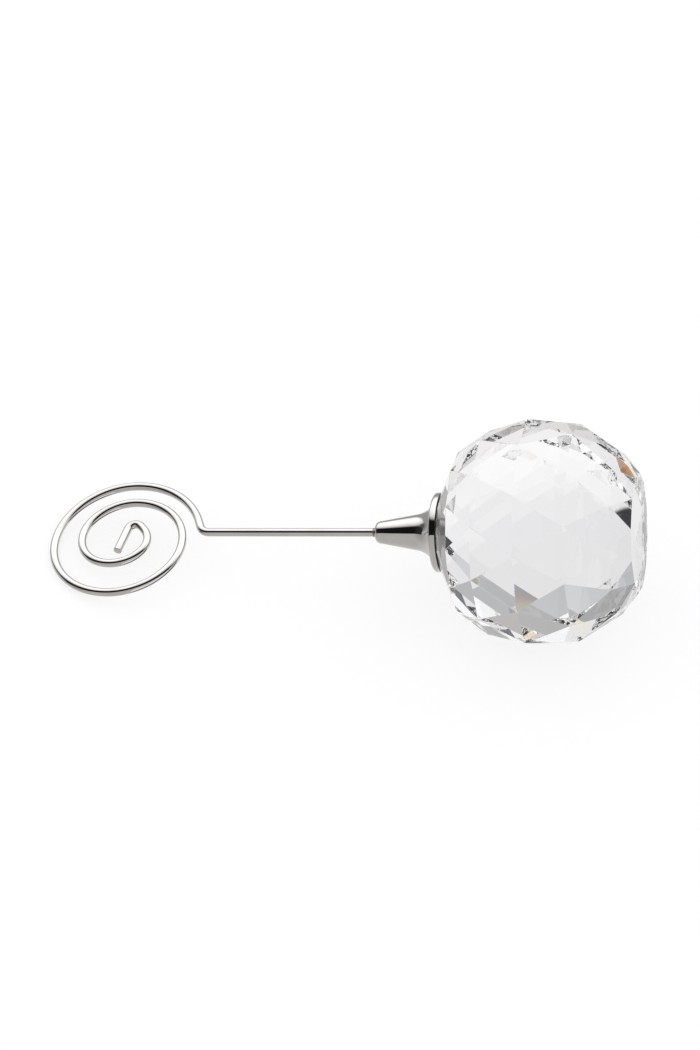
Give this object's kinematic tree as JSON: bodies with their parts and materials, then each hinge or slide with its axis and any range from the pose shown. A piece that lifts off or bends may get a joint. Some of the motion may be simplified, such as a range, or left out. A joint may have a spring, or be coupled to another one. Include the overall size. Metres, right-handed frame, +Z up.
{
  "type": "place card holder",
  "caption": "Place card holder: a faceted crystal ball with a ground flat base, a flared metal ferrule and a wire stem wound into a flat spiral clip.",
  "frame": {"origin": "middle of the ball's flat base, on the surface that it stands on", "axes": "+Z up along the stem, the flat spiral lies in the XZ plane, and -Y is the front, from where the wire leaves the stem to the right (+X) and winds inward counter-clockwise"},
  "size_m": [0.0396, 0.0396, 0.1064],
  "materials": {
    "crystal": "clear cut crystal with flat polished facets",
    "clear_adhesive": "clear cured adhesive",
    "chrome_ferrule": "bright plated and polished",
    "solder": "soft bright tin",
    "chrome_wire": "bright plated drawn wire"
  },
  "bodies": {
    "root": {"crystal_ball": "crystal", "ball_bond": "clear_adhesive", "ferrule": "chrome_ferrule", "stem_bond": "solder", "card_wire": "chrome_wire"}
  },
  "joints": []
}
